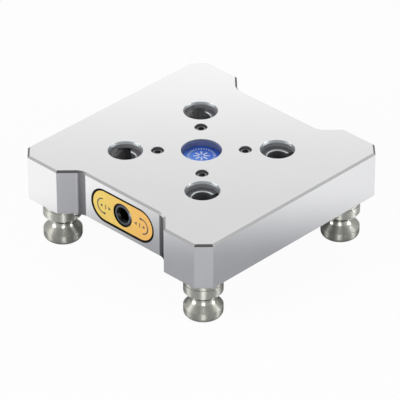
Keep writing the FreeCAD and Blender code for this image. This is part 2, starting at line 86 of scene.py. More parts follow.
class Web:
    """Adds nodes to one node tree and joins them."""

    def __init__(self, tree: NodeTree) -> None:
        """Keeps the tree that the nodes go into."""
        self.tree = tree

    def feed(self, socket: NodeSocket, source: Source) -> None:
        """Links a socket to another, or sets its value.

        Args:
            socket: the input that is fed.
            source: an output socket, a number or a colour.
        """
        if isinstance(source, NodeSocket):
            self.tree.links.new(source, socket)
        elif isinstance(source, tuple):
            socket.default_value = (*source, 1.0) if socket.type == "RGBA" else source
        else:
            socket.default_value = source

    def fill(self, node: Node, inputs: dict[str, Source]) -> Node:
        """Feeds a node's inputs.

        Args:
            node: the node that is fed.
            inputs: sources by input name, with underscores for spaces.

        Returns:
            The same node.
        """
        for name, source in inputs.items():
            self.feed(node.inputs[name.replace("_", " ")], source)
        return node

    def node(self, kind: str, **inputs: Source) -> Node:
        """Adds a node of a named type and feeds its inputs, with underscores for spaces."""
        return self.fill(self.tree.nodes.new(kind), inputs)

    def math(
        self, operation: str, first: Source, second: Source = 0.0, clamp: bool = False
    ) -> NodeSocket:
        """Adds a Math node.

        Args:
            operation: the node's operation.
            first: the first operand.
            second: the second operand.
            clamp: whether the result stays between 0 and 1.

        Returns:
            The result's socket.
        """
        node = self.tree.nodes.new("ShaderNodeMath")
        node.operation = operation
        node.use_clamp = clamp
        self.feed(node.inputs[0], first)
        self.feed(node.inputs[1], second)
        return node.outputs[0]

    def chain(self, operation: str, *sources: Source) -> NodeSocket:
        """Joins sources one after another by the same Math operation.

        Args:
            operation: the nodes' operation.
            sources: the operands, in order.

        Returns:
            The result's socket.
        """
        total = sources[0]
        for source in sources[1:]:
            total = self.math(operation, total, source)
        return total

    def vector(self, operation: str, first: Source, second: Source = (0.0, 0.0, 0.0)) -> Node:
        """Adds a Vector Math node.

        Args:
            operation: the node's operation.
            first: the first operand.
            second: the second operand.

        Returns:
            The node, whose outputs are Vector and Value.
        """
        node = self.tree.nodes.new("ShaderNodeVectorMath")
        node.operation = operation
        self.feed(node.inputs[0], first)
        self.feed(node.inputs[1], second)
        return node

    def span(
        self, value: Source, low: Source, high: Source, start: float = 0.0, end: float = 1.0
    ) -> NodeSocket:
        """Maps a value smoothly from one range to another.

        Args:
            value: what is mapped.
            low: the value that gives start.
            high: the value that gives end.
            start: the result at low.
            end: the result at high.

        Returns:
            The result's socket.
        """
        node = self.node(
            "ShaderNodeMapRange", Value=value, From_Min=low, From_Max=high, To_Min=start, To_Max=end
        )
        node.interpolation_type = "SMOOTHSTEP"
        return node.outputs[0]

    def blend(self, factor: Source, first: Source, second: Source) -> NodeSocket:
        """Mixes two colours.

        Args:
            factor: 0 gives the first colour and 1 the second.
            first: a colour or its socket.
            second: a colour or its socket.

        Returns:
            The mixed colour's socket.
        """
        node = self.tree.nodes.new("ShaderNodeMix")
        node.data_type = "RGBA"
        self.feed(node.inputs["Factor"], factor)
        self.feed(node.inputs[6], first)
        self.feed(node.inputs[7], second)
        return node.outputs[2]

    def mix(self, share: Source, first: Node, second: Node) -> Node:
        """Mixes two shaders.

        Args:
            share: 0 gives the first shader and 1 the second.
            first: a shader's node.
            second: a shader's node.

        Returns:
            The node that mixes them.
        """
        node = self.tree.nodes.new("ShaderNodeMixShader")
        self.feed(node.inputs[0], share)
        self.feed(node.inputs[1], first.outputs[0])
        self.feed(node.inputs[2], second.outputs[0])
        return node

    def rays(self, *kinds: str) -> NodeSocket:
        """Gives 1 for rays of the named kinds and 0 for all others."""
        path = self.node("ShaderNodeLightPath")
        return self.chain("MAXIMUM", *(path.outputs[kind] for kind in kinds))

    def group(self, tree: NodeTree, **inputs: Source) -> Node:
        """Places a node group and feeds its inputs.

        Args:
            tree: the group.
            inputs: sources by input name, with underscores for spaces.

        Returns:
            The group's node.
        """
        node = self.tree.nodes.new("ShaderNodeGroup")
        node.node_tree = tree
        return self.fill(node, inputs)


def new_group(
    name: str, inputs: dict[str, str], outputs: dict[str, str]
) -> tuple[NodeTree, Node, Node]:
    """Starts a shader node group.

    Args:
        name: the group's name.
        inputs: socket types by input name.
        outputs: socket types by output name.

    Returns:
        The group with its input and output nodes.
    """
    tree = bpy.data.node_groups.new(name, "ShaderNodeTree")
    for label, kind in inputs.items():
        tree.interface.new_socket(name=label, in_out="INPUT", socket_type=kind)
    for label, kind in outputs.items():
        tree.interface.new_socket(name=label, in_out="OUTPUT", socket_type=kind)
    return tree, tree.nodes.new("NodeGroupInput"), tree.nodes.new("NodeGroupOutput")


def make_tool_marks() -> NodeTree:
    """Builds the group for fine tool marks and the cloudy tone of handled metal.

    Returns:
        A group whose Fine and Cloud run from 0 to 1.
    """
    inputs = {
        "Place": "NodeSocketVector",
        "Stretch": "NodeSocketVector",
        "Scale": "NodeSocketFloat",
    }
    outputs = {"Fine": "NodeSocketFloat", "Cloud": "NodeSocketFloat"}
    tree, entry, leave = new_group("tool_marks", inputs, outputs)
    web = Web(tree)
    place, scale = entry.outputs["Place"], entry.outputs["Scale"]
    stretched = web.vector("MULTIPLY", place, entry.outputs["Stretch"]).outputs["Vector"]
    fine = web.node("ShaderNodeTexNoise", Vector=stretched, Scale=scale, Detail=MARK_DETAIL)
    cloud = web.node("ShaderNodeTexNoise", Vector=place, Scale=CLOUD_SCALE, Detail=CLOUD_DETAIL)
    web.feed(leave.inputs["Fine"], fine.outputs["Fac"])
    web.feed(leave.inputs["Cloud"], cloud.outputs["Fac"])
    return tree


def make_round_area() -> NodeTree:
    """Builds the group that masks four upright cylinders on a square grid, or one at the centre.

    Returns:
        A group whose Mask is 1 within Radius of the nearest axis, between the heights Low and High.
    """
    inputs = {
        "Place": "NodeSocketVector",
        "Grid": "NodeSocketFloat",
        "Radius": "NodeSocketFloat",
        "Low": "NodeSocketFloat",
        "High": "NodeSocketFloat",
    }
    tree, entry, leave = new_group("round_area", inputs, {"Mask": "NodeSocketFloat"})
    web = Web(tree)
    parts = web.node("ShaderNodeSeparateXYZ", Vector=entry.outputs["Place"])
    squares = []
    for axis in ("X", "Y"):
        reach = web.math("ABSOLUTE", parts.outputs[axis])
        offset = web.math("SUBTRACT", reach, entry.outputs["Grid"])
        squares.append(web.math("MULTIPLY", offset, offset))
    distance = web.math("SQRT", web.math("ADD", *squares))
    inside = web.math("LESS_THAN", distance, entry.outputs["Radius"])
    above = web.math("GREATER_THAN", parts.outputs["Z"], entry.outputs["Low"])
    below = web.math("LESS_THAN", parts.outputs["Z"], entry.outputs["High"])
    web.feed(leave.inputs["Mask"], web.chain("MULTIPLY", inside, above, below))
    return tree


def make_lying_axis() -> NodeTree:
    """Builds the group that measures the distance from the spindle's axis, which lies along y.

    Returns:
        A group whose Distance is measured square to the axis at Height.
    """
    inputs = {"Place": "NodeSocketVector", "Height": "NodeSocketFloat"}
    tree, entry, leave = new_group("lying_axis", inputs, {"Distance": "NodeSocketFloat"})
    web = Web(tree)
    parts = web.node("ShaderNodeSeparateXYZ", Vector=entry.outputs["Place"])
    rise = web.math("SUBTRACT", parts.outputs["Z"], entry.outputs["Height"])
    squares = [web.math("MULTIPLY", part, part) for part in (parts.outputs["X"], rise)]
    web.feed(leave.inputs["Distance"], web.math("SQRT", web.math("ADD", *squares)))
    return tree


def make_lathe_rings() -> NodeTree:
    """Builds the group for the fine rings that a lathe leaves along an upright axis.

    Returns:
        A group whose Ring runs from 0 to 1 across each feed mark.
    """
    inputs = {"Place": "NodeSocketVector", "Pitch": "NodeSocketFloat"}
    tree, entry, leave = new_group("lathe_rings", inputs, {"Ring": "NodeSocketFloat"})
    web = Web(tree)
    parts = web.node("ShaderNodeSeparateXYZ", Vector=entry.outputs["Place"])
    wobble = web.node("ShaderNodeTexNoise", Vector=entry.outputs["Place"], Scale=WOBBLE_SCALE)
    turns = web.math("DIVIDE", parts.outputs["Z"], entry.outputs["Pitch"])
    wave = web.math("SINE", web.math("MULTIPLY", turns, math.tau))
    ring = web.math("MULTIPLY", web.span(wave, -1.0, 1.0), wobble.outputs["Fac"])
    web.feed(leave.inputs["Ring"], ring)
    return tree


@dataclass(frozen=True)
class Groups:
    """The node groups that the finishes use."""

    tool_marks: NodeTree
    round_area: NodeTree
    lying_axis: NodeTree
    lathe_rings: NodeTree


@dataclass(frozen=True)
class RoundArea:
    """Four upright cylinders on a square grid: half the grid's pitch, a radius and two heights."""

    grid: float
    radius: float
    low: float
    high: float

    def mask(self, web: Web, groups: Groups, place: NodeSocket) -> NodeSocket:
        """Places the group that masks the area.

        Args:
            web: the material's nodes.
            groups: the shared node groups.
            place: the socket of Object coordinates.

        Returns:
            The mask's socket.
        """
        sizes = {"Grid": self.grid, "Radius": self.radius, "Low": self.low, "High": self.high}
        return web.group(groups.round_area, Place=place, **sizes).outputs["Mask"]


@dataclass(frozen=True)
class Metal:
    """A machined metal with its colour, gloss and tool marks."""

    name: str
    colour: Colour
    roughness: float
    metallic: float = 1.0
    shade: float = 0.9
    play: float = 0.08
    grain: Grain = Grain.EVEN
    grain_scale: float = 2500.0
    relief: float = 0.02
    mark_depth: float = 0.02 * MM
    anisotropy: float = 0.0
    specular: float = 0.5

    def start(self, groups: Groups) -> tuple[Material, Web, Node, dict[str, NodeSocket]]:
        """Makes the material with its tool marks.

        Args:
            groups: the shared node groups.

        Returns:
            The material, web and shader, and the sockets of place, colour, roughness and marks.
        """
        material = bpy.data.materials.new(self.name)
        material.use_nodes = True
        web = Web(material.node_tree)
        shader = material.node_tree.nodes["Principled BSDF"]
        shader.inputs["Metallic"].default_value = self.metallic
        shader.inputs["Anisotropic"].default_value = self.anisotropy
        shader.inputs["Specular IOR Level"].default_value = self.specular
        place = web.node("ShaderNodeTexCoord").outputs["Object"]
        stretch, scale = self.grain.value, self.grain_scale
        marks = web.group(groups.tool_marks, Place=place, Stretch=stretch, Scale=scale)
        fine, cloud = marks.outputs["Fine"], marks.outputs["Cloud"]
        darker = tuple(part * self.shade for part in self.colour)
        colour = web.blend(cloud, darker, self.colour)
        # Fine and Cloud are each about a half, so that their sum plays about 1.
        mottle = web.math("SUBTRACT", web.math("ADD", fine, cloud), 1.0)
        swing = web.math("MULTIPLY", mottle, self.play)
        roughness = web.math("ADD", swing, self.roughness, clamp=True)
        sockets = {"place": place, "colour": colour, "roughness": roughness, "marks": fine}
        return material, web, shader, sockets

    def close(self, web: Web, shader: Node, sockets: dict[str, NodeSocket]) -> None:
        """Joins colour, roughness and relief to the shader.

        Args:
            web: the material's nodes.
            shader: the material's shader.
            sockets: the sockets of colour, roughness and marks.
        """
        height, depth = sockets["marks"], self.mark_depth
        bump = web.node("ShaderNodeBump", Height=height, Strength=self.relief, Distance=depth)
        web.feed(shader.inputs["Base Color"], sockets["colour"])
        web.feed(shader.inputs["Roughness"], sockets["roughness"])
        web.feed(shader.inputs["Normal"], bump.outputs["Normal"])

    def material(self, groups: Groups) -> Material:
        """Builds the plain finish.

        Args:
            groups: the shared node groups.

        Returns:
            The finished material.
        """
        material, web, shader, sockets = self.start(groups)
        self.close(web, shader, sockets)
        return material


@dataclass(frozen=True)
class GroundPlate(Metal):
    """The ground plate, with painted shade in its bores, lead-ins and recess corners, and a
    polished centre counterbore in painted blue shade.
    """

    wall_from: float = 10 * MM
    # Painted shade on the walls of the bores and of the plug holes.
    wall_shade_colour: Colour = (0.40, 0.40, 0.42)
    wall_roughness: float = 0.4
    bore_radius: float = 8 * MM
    plug_radius: float = 3 * MM
    plug_wall_shade_colour: Colour = (0.16, 0.16, 0.17)
    counterbore_radius: float = 10.5 * MM
    # Painted shade in the centre counterbore, tinted blue as a painted reflection of the cap.
    counterbore_shade_colour: Colour = (0.22, 0.25, 0.38)
    counterbore_roughness: float = 0.2
    lead: float = 1.2 * MM
    lead_radius: float = 8.7 * MM
    # Painted shade on the lead-in round each bore.
    lead_shade_colour: Colour = (0.42, 0.45, 0.46)
    side_margin: float = 0.1 * MM
    top_margin: float = 0.02 * MM
    inside_metallic: float = 0.5
    chamber_half: float = 35.7 * MM
    skin: float = 3.3 * MM
    # Painted shade in the rounded corners of the recesses.
    corner_shade_colour: Colour = (0.22, 0.22, 0.23)
    corner_from: float = 24.8 * MM
    corner_full: float = 25.2 * MM
    corner_fade: float = 28.4 * MM
    corner_to: float = 29.5 * MM
    corner_line: float = 53.0 * MM
    corner_top: float = 1.0 * MM

    def material(self, groups: Groups) -> Material:
        """Builds the finish with its masks of painted shade on walls, counterbore, lead-ins and
        recess corners.

        Args:
            groups: the shared node groups.

        Returns:
            The finished material.
        """
        material, web, shader, sockets = self.start(groups)
        place = sockets["place"]
        low = PLATE_UNDERSIDE + self.wall_from
        rim = PLATE_TOP - self.lead
        top = PLATE_TOP - self.top_margin
        areas = (
            RoundArea(RECEIVER_AT, self.bore_radius + self.side_margin, low, rim),
            RoundArea(PLUG_AT, self.plug_radius + self.side_margin, low, PLATE_TOP),
            RoundArea(0.0, self.counterbore_radius + self.side_margin, low, top),
            RoundArea(RECEIVER_AT, self.lead_radius, rim, top),
        )
        bores, plugs, centre, leads = (area.mask(web, groups, place) for area in areas)
        walls = web.math("MAXIMUM", bores, plugs)
        # Painted shade goes over the bore and plug walls, counterbore, lead-ins and recess corners.
        for mask, colour in (
            (walls, self.wall_shade_colour),
            (plugs, self.plug_wall_shade_colour),
            (centre, self.counterbore_shade_colour),
            (leads, self.lead_shade_colour),
            (self.corners(web, place), self.corner_shade_colour),
        ):
            sockets["colour"] = web.blend(mask, sockets["colour"], colour)
        inside = web.chain("MAXIMUM", walls, centre, leads, self.chamber(web, place))
        metallic = web.span(inside, 0.0, 1.0, self.metallic, self.inside_metallic)
        web.feed(shader.inputs["Metallic"], metallic)
        dull = web.math("MAXIMUM", walls, leads)
        rough = web.span(dull, 0.0, 1.0, 0.0, self.wall_roughness - self.roughness)
        rough = web.math("ADD", sockets["roughness"], rough)
        smooth = web.span(centre, 0.0, 1.0, 0.0, self.counterbore_roughness - self.roughness)
        sockets["roughness"] = web.math("ADD", rough, smooth, clamp=True)
        self.close(web, shader, sockets)
        return material

    def chamber(self, web: Web, place: NodeSocket) -> NodeSocket:
        """Masks the milled walls of the chamber under the skin.

        Args:
            web: the material's nodes.
            place: the socket of Object coordinates.

        Returns:
            The mask's socket.
        """
        parts = web.node("ShaderNodeSeparateXYZ", Vector=place)
        reaches = [web.math("ABSOLUTE", parts.outputs[axis]) for axis in ("X", "Y")]
        within = web.math("LESS_THAN", web.math("MAXIMUM", *reaches), self.chamber_half)
        below = web.math("LESS_THAN", parts.outputs["Z"], PLATE_TOP - self.skin)
        return web.math("MULTIPLY", within, below)

    def corners(self, web: Web, place: NodeSocket) -> NodeSocket:
        """Masks the rounded corners of the recesses, where shade is painted.

        Args:
            web: the material's nodes.
            place: the socket of Object coordinates.

        Returns:
            The mask's socket.
        """
        parts = web.node("ShaderNodeSeparateXYZ", Vector=place)
        across, along = (web.math("ABSOLUTE", parts.outputs[axis]) for axis in ("X", "Y"))
        rise = web.span(across, self.corner_from, self.corner_full)
        fall = web.span(across, self.corner_fade, self.corner_to, 1.0, 0.0)
        outside = web.math("GREATER_THAN", along, self.corner_line)
        below = web.math("LESS_THAN", parts.outputs["Z"], PLATE_TOP - self.corner_top)
        return web.chain("MULTIPLY", rise, fall, outside, below)


@dataclass(frozen=True)
class TurnedSteel(Metal):
    """Turned steel of the pull studs, with feed rings and a brushed glint round each axis."""

    ring_pitch: float = 0.35 * MM
    glint_turn: float = 0.25
    undercut_shade_colour: Colour = (0.02, 0.02, 0.02)
    undercut_radius: float = 6.6 * MM
    undercut_low: float = 10.9 * MM
    undercut_high: float = 13.8 * MM

    def material(self, groups: Groups) -> Material:
        """Builds the finish with rings, painted shade in the undercut and a tangent round the
        nearest stud.

        Args:
            groups: the shared node groups.

        Returns:
            The finished material.
        """
        material, web, shader, sockets = self.start(groups)
        place = sockets["place"]
        # Painted shade: the undercut under each collar is darkened to stand in for its shadow.
        area = RoundArea(STUD_AT, self.undercut_radius, self.undercut_low, self.undercut_high)
        undercut = area.mask(web, groups, place)
        sockets["colour"] = web.blend(undercut, sockets["colour"], self.undercut_shade_colour)
        rings = web.group(groups.lathe_rings, Place=place, Pitch=self.ring_pitch)
        sockets["marks"] = rings.outputs["Ring"]
        parts = web.node("ShaderNodeSeparateXYZ", Vector=place)
        around = []
        for axis in ("Y", "X"):
            side = web.math("SIGN", parts.outputs[axis])
            middle = web.math("MULTIPLY", side, STUD_AT)
            around.append(web.math("SUBTRACT", parts.outputs[axis], middle))
        back = web.math("MULTIPLY", around[0], -1.0)
        tangent = web.node("ShaderNodeCombineXYZ", X=back, Y=around[1])
        shader.inputs["Anisotropic Rotation"].default_value = self.glint_turn
        web.feed(shader.inputs["Tangent"], tangent.outputs["Vector"])
        self.close(web, shader, sockets)
        return material


@dataclass(frozen=True)
class JawSteel(Metal):
    """Hardened jaws: dark all over but for the ground bevels round their notches, painted near
    white as a highlight.
    """

    edge_highlight_colour: Colour = (0.95, 1.0, 1.0)
    edge_radius: float = 6.2 * MM
    edge_height: float = 0.5 * MM
    top_margin: float = 0.01 * MM

    def material(self, groups: Groups) -> Material:
        """Builds the finish with its bevels: bright ground steel, painted up to a highlight.

        Args:
            groups: the shared node groups.

        Returns:
            The finished material.
        """
        material, web, shader, sockets = self.start(groups)
        low, high = JAW_TOP - self.edge_height, JAW_TOP - self.top_margin
        area = RoundArea(RECEIVER_AT, self.edge_radius, low, high)
        bevels = area.mask(web, groups, sockets["place"])
        # The bevels' bare ground steel carries a painted highlight.
        sockets["colour"] = web.blend(bevels, sockets["colour"], self.edge_highlight_colour)
        self.close(web, shader, sockets)
        return material


@dataclass(frozen=True)
class DriveSteel(Metal):
    """Blackened spindle, slate grey outside its socket and near black within it."""

    outer_colour: Colour = (0.10, 0.115, 0.13)
    socket_radius: float = 4.2 * MM

    def material(self, groups: Groups) -> Material:
        """Builds the finish, slate grey beyond the socket's radius.

        Args:
            groups: the shared node groups.

        Returns:
            The finished material.
        """
        material, web, shader, sockets = self.start(groups)
        away = web.group(groups.lying_axis, Place=sockets["place"], Height=SPINDLE_HEIGHT)
        outside_socket = web.math("GREATER_THAN", away.outputs["Distance"], self.socket_radius)
        sockets["colour"] = web.blend(outside_socket, sockets["colour"], self.outer_colour)
        self.close(web, shader, sockets)
        return material


@dataclass(frozen=True)
class RampedPrint(Metal):
    """A printed or anodised face whose colour runs from one tone to another along an axis, as
    painted light and shade.
    """

    axis: str = "X"
    start_at: float = 0.0
    end_at: float = 0.0
    far_shading_colour: Colour = (0.0, 0.0, 0.0)
    hole_radius: float = 0.0
    hole_shade_colour: Colour = (0.01, 0.01, 0.01)

    def material(self, groups: Groups) -> Material:
        """Builds the finish with its run of painted light and shade, and painted shade on the wall
        where a hole takes the spindle.

        Args:
            groups: the shared node groups.

        Returns:
            The finished material.
        """
        material, web, shader, sockets = self.start(groups)
        parts = web.node("ShaderNodeSeparateXYZ", Vector=sockets["place"])
        # The run of colour along the axis is painted light and shade.
        along = web.span(parts.outputs[self.axis], self.start_at, self.end_at)
        sockets["colour"] = web.blend(along, sockets["colour"], self.far_shading_colour)
        # Painted shade on the wall of the hole that takes the spindle.
        away = web.group(groups.lying_axis, Place=sockets["place"], Height=SPINDLE_HEIGHT)
        hole = web.math("LESS_THAN", away.outputs["Distance"], self.hole_radius)
        sockets["colour"] = web.blend(hole, sockets["colour"], self.hole_shade_colour)
        self.close(web, shader, sockets)
        return material


class Paint(Enum):
    """Every finish on the riser."""

    PLATE = GroundPlate(
        "ground_plate", (0.905, 0.905, 0.91), 0.22, shade=0.97, play=0.03, grain=Grain.ACROSS
    )
    COVER = Metal("milled_cover", (0.50, 0.51, 0.52), 0.34, metallic=0.7, grain=Grain.ACROSS)
    STUD = TurnedSteel(
        "turned_studs", (0.52, 0.52, 0.47), 0.33,
        metallic=0.68, shade=0.94, play=0.04, anisotropy=0.8,
    )
    JAW = JawSteel("hardened_jaws", (0.22, 0.22, 0.235), 0.36, metallic=0.6)
    PIN = Metal("ground_pins", (0.66, 0.66, 0.68), 0.2)
    BLACK = Metal("black_oxide", (0.035, 0.036, 0.04), 0.36, metallic=0.85, shade=0.7)
    PLUG = Metal("grease_plug_steel", (0.34, 0.34, 0.35), 0.3, shade=0.8)
    BRONZE = Metal("bearing_bronze", (0.58, 0.38, 0.16), 0.3)
    SPINDLE = DriveSteel(
        "drive_spindle_steel", (0.014, 0.014, 0.016), 0.4, metallic=0.85, shade=0.7, specular=0.3
    )
    RUBBER = Metal(
        "seal_rubber", (0.004, 0.004, 0.0045), 0.7, metallic=0.0, shade=0.8, specular=0.06
    )
    LABEL = RampedPrint(
        "label_yellow", (0.90, 0.64, 0.12), 0.4,
        metallic=0.0, shade=0.97, play=0.04, relief=0.01,
        axis="X", start_at=-18 * MM, end_at=20 * MM, far_shading_colour=(0.94, 0.51, 0.11),
        hole_radius=6.2 * MM,
    )
    CAP = RampedPrint(
        "anodised_blue", (0.12, 0.31, 0.92), 0.26,
        metallic=0.6, shade=0.95, play=0.04, relief=0.01,
        axis="Y", start_at=-8 * MM, end_at=6 * MM, far_shading_colour=(0.055, 0.16, 0.70),
    )
    NAVY_PRINT = Metal("navy_print", (0.022, 0.028, 0.075), 0.45, metallic=0.0, shade=0.8)
    PALE_PRINT = Metal("pale_print", (0.80, 0.86, 1.0), 0.35, metallic=0.4, shade=0.95)


NODE_PAINT: dict[str, Paint] = {
    "riser_body": Paint.PLATE,
    "base_cover": Paint.COVER,
    "cover_screws": Paint.BLACK,
    "cover_dowels": Paint.PIN,
    "cover_seal": Paint.RUBBER,
    "pull_stud_front_left": Paint.STUD,
    "pull_stud_front_right": Paint.STUD,
    "pull_stud_back_left": Paint.STUD,
    "pull_stud_back_right": Paint.STUD,
    "stud_screws": Paint.BLACK,
    "drive_spindle": Paint.SPINDLE,
    "front_bush": Paint.BRONZE,
    "rear_bush": Paint.BRONZE,
    "spindle_o_ring": Paint.RUBBER,
    "thrust_washer": Paint.BRONZE,
    "spindle_lock_ring": Paint.BLACK,
    "lock_ring_screw": Paint.BLACK,
    "cam_slide": Paint.JAW,
    "drive_nut": Paint.BRONZE,
    "jaw_left": Paint.JAW,
    "jaw_right": Paint.JAW,
    "jaw_pins_left": Paint.PIN,
    "jaw_pins_right": Paint.PIN,
    "centre_cap": Paint.CAP,
    "grease_plugs": Paint.PLUG,
    "label_gasket": Paint.RUBBER,
    "label_plate": Paint.LABEL,
}


def dress(obj: Object, material: Material) -> None:
    """Gives an object one material all over."""
    obj.data.materials.clear()
    obj.data.materials.append(material)


def new_object(name: str, shape: BMesh) -> Object:
    """Puts a shape into the scene.

    Args:
        name: the name of the object and its mesh.
        shape: the bmesh, freed here.

    Returns:
        The new object, at the origin.
    """
    mesh = bpy.data.meshes.new(name)
    shape.to_mesh(mesh)
    shape.free()
    obj = bpy.data.objects.new(name, mesh)
    bpy.context.scene.collection.objects.link(obj)
    return obj


def finished(name: str, shape: BMesh, material: Material, body: str) -> Object:
    """Turns a bmesh into a dressed piece that rides on a body.

    Args:
        name: the piece's name.
        shape: the mesh, freed here.
        material: the piece's finish.
        body: the body that carries it.

    Returns:
        The new object, at the origin.
    """
    bmesh.ops.remove_doubles(shape, verts=shape.verts, dist=MERGE_DISTANCE)
    bmesh.ops.recalc_face_normals(shape, faces=shape.faces)
    settle_order(shape)
    obj = new_object(name, shape)
    dress(obj, material)
    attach(obj, body)
    LOG.info("%s rides on %s with %d faces", name, body, len(obj.data.polygons))
    return obj


def thicken(shape: BMesh, faces: list[BMFace], rise: Vector) -> None:
    """Makes flat faces into a thin closed print.

    Args:
        shape: the mesh that holds the faces.
        faces: the flat faces.
        rise: how far and which way the print's top lies from them.
    """
    grown = bmesh.ops.extrude_face_region(shape, geom=faces, use_keep_orig=True)
    moved = [item for item in grown["geom"] if isinstance(item, BMVert)]
    bmesh.ops.translate(shape, verts=moved, vec=rise)


def settle_order(shape: BMesh) -> None:
    """Puts a mesh's elements in the order of their places, because an extrude's order varies.

    Args:
        shape: the mesh.
    """
    middles = (
        (shape.verts, lambda vert: vert.co),
        (shape.edges, lambda edge: edge.verts[0].co + edge.verts[1].co),
        (shape.faces, lambda face: face.calc_center_median()),
    )
    for elements, middle in middles:
        ranked = sorted(elements, key=lambda element: tuple(middle(element)))
        ranks = {element: rank for rank, element in enumerate(ranked)}
        elements.sort(key=ranks.get)
        elements.index_update()


@dataclass
class FlatMarks:
    """Flat printed marks drawn in a plane: u runs across it, v up it, and n out of it."""

    origin: Vector
    u: Vector
    v: Vector
    rise: float = 0.04 * MM
    sink: float = 0.01 * MM
    steps_per_radian: float = 14.0

    def __post_init__(self) -> None:
        """Starts the mesh and the plane's placement."""
        self.shape = bmesh.new()
        normal = self.u.cross(self.v)
        self.place = Matrix.Translation(self.origin - normal * self.sink)
        self.place = self.place @ Matrix((self.u, self.v, normal)).transposed().to_4x4()

    def bar(self, u: float, v: float, width: float, height: float, turn: float = 0.0) -> None:
        """Draws a rectangle.

        Args:
            u: its centre across the plane.
            v: its centre up the plane.
            width: its size across before it is turned.
            height: its size up before it is turned.
            turn: its turn in radians about the plane's origin, after it is placed.
        """
        place = Matrix.Rotation(turn, 4, "Z") @ Matrix.Translation((u, v, 0))
        place = place @ Matrix.Diagonal((width / 2, height / 2, 1, 1))
        bmesh.ops.create_grid(self.shape, x_segments=1, y_segments=1, size=1.0, matrix=place)

    def triangle(self, u: float, v: float, size: float, turn: float) -> None:
        """Draws an arrow head whose point looks along turn, in radians from u."""
        place = Matrix.Translation((u, v, 0)) @ Matrix.Rotation(turn - math.pi / 2, 4, "Z")
        bmesh.ops.create_circle(self.shape, cap_ends=True, segments=3, radius=size, matrix=place)

    def arc(
        self, u: float, v: float, radius: float, width: float, start: float, sweep: float
    ) -> None:
        """Draws a curved stroke.

        Args:
            u: the arc's centre across the plane.
            v: the arc's centre up the plane.
            radius: the middle line's radius.
            width: the stroke's width.
            start: the first angle in radians.
            sweep: the angle in radians from the stroke's start to its end.
        """
        ray = Vector((math.cos(start), math.sin(start), 0))
        centre = Vector((u, v, 0))
        reaches = (radius - width / 2, radius + width / 2)
        ends = [self.shape.verts.new(centre + ray * reach) for reach in reaches]
        geom = [self.shape.edges.new(ends), *ends]
        steps = round(sweep * self.steps_per_radian)
        bmesh.ops.spin(self.shape, geom=geom, cent=centre, axis=(0, 0, 1), angle=sweep, steps=steps)

    def finish(self, name: str, material: Material, body: str) -> Object:
        """Gives the marks their thickness and makes the piece.

        Args:
            name: the piece's name.
            material: the ink.
            body: the body that carries it.

        Returns:
            The new object.
        """
        shape = self.shape
        bmesh.ops.remove_doubles(shape, verts=shape.verts, dist=MERGE_DISTANCE)
        thicken(shape, list(shape.faces), Vector((0, 0, self.rise + self.sink)))
        bmesh.ops.transform(shape, matrix=self.place, verts=shape.verts)
        return finished(name, shape, material, body)


@dataclass
class MachinedParts:
    """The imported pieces, which only take their finishes here."""

    groups: Groups

    def build(self) -> None:
        """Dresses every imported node."""
        made: dict[Paint, Material] = {}
        for name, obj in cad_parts.items():
            paint = NODE_PAINT[name]
            if paint not in made:
                made[paint] = paint.value.material(self.groups)
            dress(obj, made[paint])
            LOG.info("%s dressed in %s", name, made[paint].name)


@dataclass
class LabelPrint:
    """Turning arrows and plain opening signs on the yellow plate; angles in radians."""

    groups: Groups
    arrow_centre: float = 13.0 * MM
    arrow_drop: float = 0.4 * MM
    arrow_radius: float = 3.95 * MM
    left_start: float = math.radians(95)
    right_start: float = math.radians(-83)
    sweep: float = math.radians(178)
    tip_lead: float = 0.12
    stroke: float = 0.6 * MM
    head: float = 1.0 * MM
    sign_centre: float = 11.6 * MM
    sign_height: float = 2.4 * MM
    sign_stroke: float = 0.5 * MM
    sign_reach: float = 2.6 * MM

    def arrow(self, marks: FlatMarks, side: int) -> None:
        """Draws one anticlockwise arrow.

        Args:
            marks: the print that it is drawn in.
            side: -1 on the left and 1 on the right.
        """
        start = self.left_start if side < 0 else self.right_start
        u = side * self.arrow_centre
        marks.arc(u, -self.arrow_drop, self.arrow_radius, self.stroke, start, self.sweep)
        tip = start + self.sweep + self.tip_lead
        across = u + self.arrow_radius * math.cos(tip)
        up = -self.arrow_drop + self.arrow_radius * math.sin(tip)
        marks.triangle(across, up, self.head, tip + math.pi / 2)

    def sign(self, marks: FlatMarks, side: int) -> None:
        """Draws the opening sign: a bar between two triangles that point apart.

        Args:
            marks: the print that it is drawn in.
            side: -1 on the left and 1 on the right.
        """
        u = side * self.sign_centre
        marks.bar(u, -self.arrow_drop, self.sign_stroke, self.sign_height)
        for way, turn in ((-1, math.pi), (1, 0.0)):
            marks.triangle(u + way * self.sign_reach, -self.arrow_drop, self.head, turn)

    def build(self) -> None:
        """Makes the arrows and the signs on the plate's front."""
        low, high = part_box("label_plate")
        origin = Vector((0, low.y, (low.z + high.z) / 2))
        ink = Paint.NAVY_PRINT.value.material(self.groups)
        for name, draw in (("label_arrows", self.arrow), ("label_signs", self.sign)):
            marks = FlatMarks(origin, Vector((1, 0, 0)), Vector((0, 0, 1)))
            for side in (-1, 1):
                draw(marks, side)
            marks.finish(name, ink, "plate")


